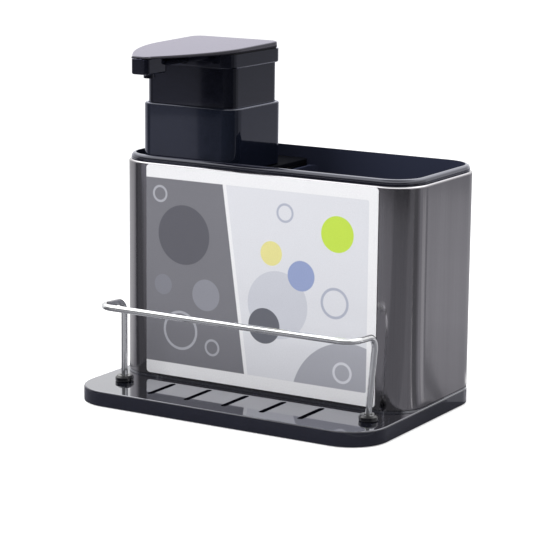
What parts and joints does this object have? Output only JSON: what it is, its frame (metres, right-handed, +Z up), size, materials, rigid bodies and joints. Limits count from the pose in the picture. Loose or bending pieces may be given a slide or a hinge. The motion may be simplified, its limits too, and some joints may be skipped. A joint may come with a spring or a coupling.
{
  "type": "soap_dispenser",
  "caption": "Kitchen-sink soap dispenser in brushed steel and black plastic with a press pump, a brush compartment and a chrome sponge rail",
  "frame": {"origin": "centre of the bounding box at the level the foot pads stand on", "axes": "+X to the right seen from the front, +Y to the back, +Z up; the spout and the sponge deck face -Y"},
  "size_m": [0.18, 0.128, 0.188],
  "materials": {
    "black_plastic": "gloss black ABS",
    "rubber": "matt",
    "brushed_steel": "upright brushed grain under a clear polish",
    "chrome": "polished",
    "zinc": "satin plated steel",
    "card": "coated card with a plain printed panel",
    "natural_plastic": "milky natural polypropylene"
  },
  "bodies": {
    "stand": {"base_tray": "black_plastic", "foot_pad_1": "rubber", "foot_pad_2": "rubber", "foot_pad_3": "rubber", "foot_pad_4": "rubber", "base_screw_1": "zinc", "base_screw_2": "zinc", "base_screw_3": "zinc", "base_screw_4": "zinc", "steel_sleeve": "brushed_steel", "inner_housing": "black_plastic", "front_card": "card", "sponge_rail": "chrome", "rail_boss_left": "black_plastic", "rail_boss_right": "black_plastic", "rail_nut_left": "zinc", "rail_nut_right": "zinc"},
    "tank": {"soap_tank": "natural_plastic", "tank_lid": "black_plastic", "neck_gasket": "rubber"},
    "pump": {"pump_collar": "black_plastic", "retaining_nut": "natural_plastic", "pump_cylinder": "natural_plastic", "cylinder_cap": "natural_plastic", "dip_tube": "natural_plastic", "pump_spring": "zinc"},
    "inlet_valve": {"inlet_ball": "zinc"},
    "head": {"pump_stem": "natural_plastic", "piston": "natural_plastic", "head_body": "black_plastic", "head_plate": "black_plastic", "spout_tube": "natural_plastic", "spout_tip": "black_plastic"},
    "outlet_valve": {"outlet_ball": "zinc"}
  },
  "joints": [
    {"name": "tank_lift", "type": "slide", "parent": "stand", "child": "tank", "axis": [0, 0, 1], "range_m": [0, 0.115]},
    {"name": "pump_lift", "type": "slide", "parent": "tank", "child": "pump", "axis": [0, 0, 1], "range_m": [0, 0.105]},
    {"name": "head_press", "type": "slide", "parent": "pump", "child": "head", "axis": [0, 0, -1], "range_m": [0, 0.014], "stiffness_N_per_m": 500, "springref_m": -0.006, "deforming": ["pump_spring"]},
    {"name": "inlet_ball_lift", "type": "slide", "parent": "pump", "child": "inlet_valve", "axis": [0, 0, 1], "range_m": [0, 0.0015]},
    {"name": "outlet_ball_lift", "type": "slide", "parent": "head", "child": "outlet_valve", "axis": [0, 0, 1], "range_m": [0, 0.0012]}
  ]
}
